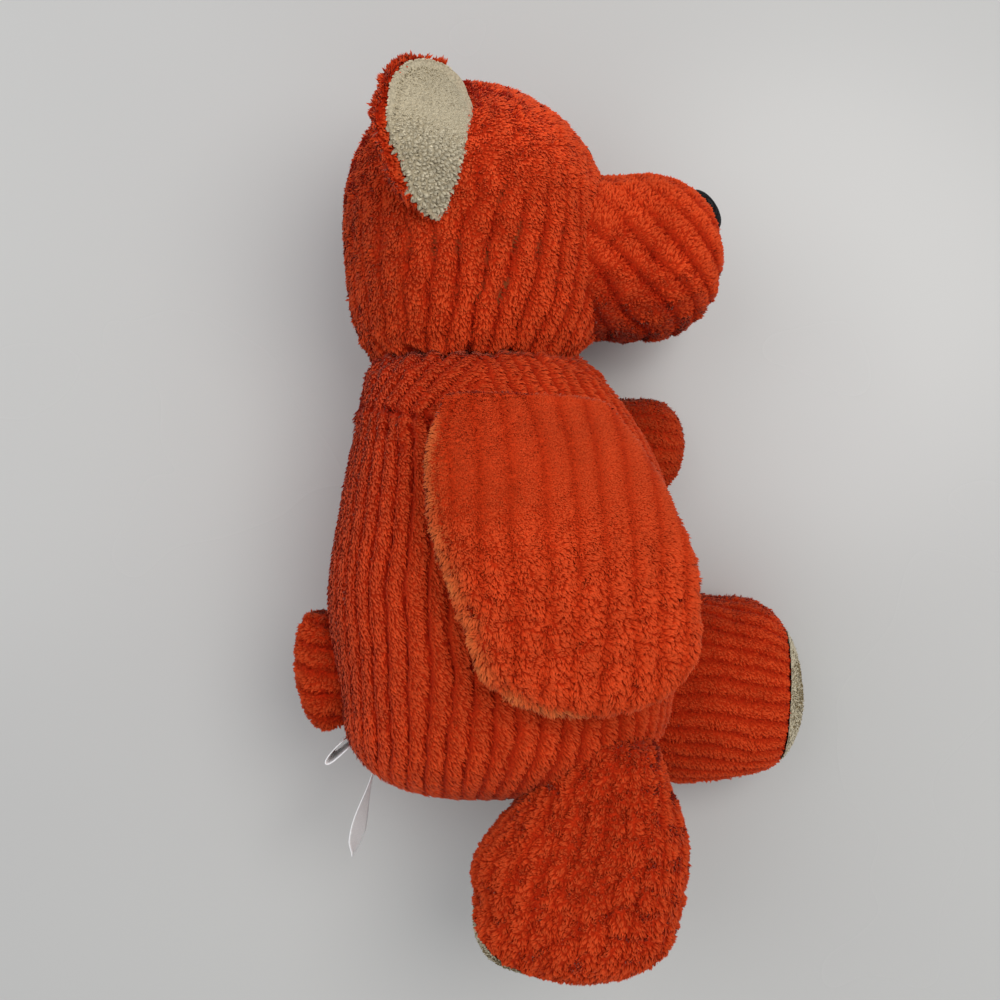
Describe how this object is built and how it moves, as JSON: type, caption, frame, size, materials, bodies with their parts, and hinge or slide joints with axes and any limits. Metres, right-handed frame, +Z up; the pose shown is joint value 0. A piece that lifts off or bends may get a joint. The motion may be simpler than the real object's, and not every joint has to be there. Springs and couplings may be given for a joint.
{
  "type": "teddy bear",
  "caption": "Stuffed corduroy teddy bear lying on its side, with a long muzzle, flat arms, padded feet, cupped ears and a small tail.",
  "frame": {"origin": "on the floor, in the middle of the flat patch that the body rests on", "axes": "+X is the way the face points, +Y runs from the feet to the head, +Z is up towards the bear's right side"},
  "size_m": [0.1904, 0.3104, 0.1328],
  "materials": {
    "cord": "wide-wale chenille corduroy, orange-red, matt",
    "cream": "short looped plush, cream, matt",
    "black": "black stitched fabric, slightly satin",
    "satin": "blank white satin label tape",
    "fibre": "white polyester fibre filling"
  },
  "bodies": {
    "body": {"body_skin": "cord", "body_stuffing": "fibre"},
    "head": {"head_skin": "cord", "head_stuffing": "fibre", "muzzle_skin": "cord", "muzzle_stuffing": "fibre", "nose": "black", "eye_right": "black", "eye_left": "black"},
    "ear_right": {"ear_front_right": "cream", "ear_back_right": "cord"},
    "ear_left": {"ear_front_left": "cream", "ear_back_left": "cord"},
    "arm_right": {"arm_skin_right": "cord", "arm_stuffing_right": "fibre"},
    "arm_left": {"arm_skin_left": "cord", "arm_stuffing_left": "fibre"},
    "leg_right": {"leg_skin_right": "cord", "leg_stuffing_right": "fibre", "foot_pad_right": "cream"},
    "leg_left": {"leg_skin_left": "cord", "leg_stuffing_left": "fibre", "foot_pad_left": "cream"},
    "tail": {"tail_skin": "cord", "tail_stuffing": "fibre"},
    "label_folded": {"label_folded": "satin"},
    "label_long": {"label_long": "satin"}
  },
  "joints": [
    {"name": "neck_nod", "type": "hinge", "parent": "body", "child": "head", "pos_m": [-0.009, 0.086, 0.056], "axis": [0, 0, 1], "range_deg": [-10, 12], "stiffness_Nm_per_rad": 0.4},
    {"name": "ear_right_bend", "type": "hinge", "parent": "head", "child": "ear_right", "pos_m": [-0.017, 0.148, 0.09838], "axis": [0.2363, 0.945, -0.2262], "range_deg": [-22, 22], "stiffness_Nm_per_rad": 0.02},
    {"name": "ear_left_open", "type": "hinge", "parent": "head", "child": "ear_left", "pos_m": [-0.014, 0.148, 0.00305], "axis": [0, -1, 0], "range_deg": [0, 30]},
    {"name": "arm_right_lift", "type": "hinge", "parent": "body", "child": "arm_right", "pos_m": [0.008, 0.07, 0.0994], "axis": [-0.9718, 0.0328, 0.2333], "range_deg": [0, 85]},
    {"name": "arm_left_swing", "type": "hinge", "parent": "body", "child": "arm_left", "pos_m": [0.008, 0.06, 0.017], "axis": [0, 0, 1], "range_deg": [-12, 15]},
    {"name": "leg_right_swing", "type": "hinge", "parent": "body", "child": "leg_right", "pos_m": [0.0385, -0.053, 0.0845], "axis": [0, 0, 1], "range_deg": [-8, 75]},
    {"name": "leg_left_swing", "type": "hinge", "parent": "body", "child": "leg_left", "pos_m": [0.0385, -0.046, 0.0275], "axis": [0, 0, 1], "range_deg": [-95, 0]},
    {"name": "tail_bend", "type": "hinge", "parent": "body", "child": "tail", "pos_m": [-0.05775, -0.026, 0.056], "axis": [0, 0, 1], "range_deg": [-15, 15], "stiffness_Nm_per_rad": 0.02},
    {"name": "label_folded_bend", "type": "hinge", "parent": "body", "child": "label_folded", "pos_m": [-0.05454, -0.0505, 0.058], "axis": [0, 0, 1], "range_deg": [-15, 15], "stiffness_Nm_per_rad": 0.0005},
    {"name": "label_long_bend", "type": "hinge", "parent": "body", "child": "label_long", "pos_m": [-0.04561, -0.0615, 0.053], "axis": [0, 0, 1], "range_deg": [-20, 20], "stiffness_Nm_per_rad": 0.0005}
  ]
}
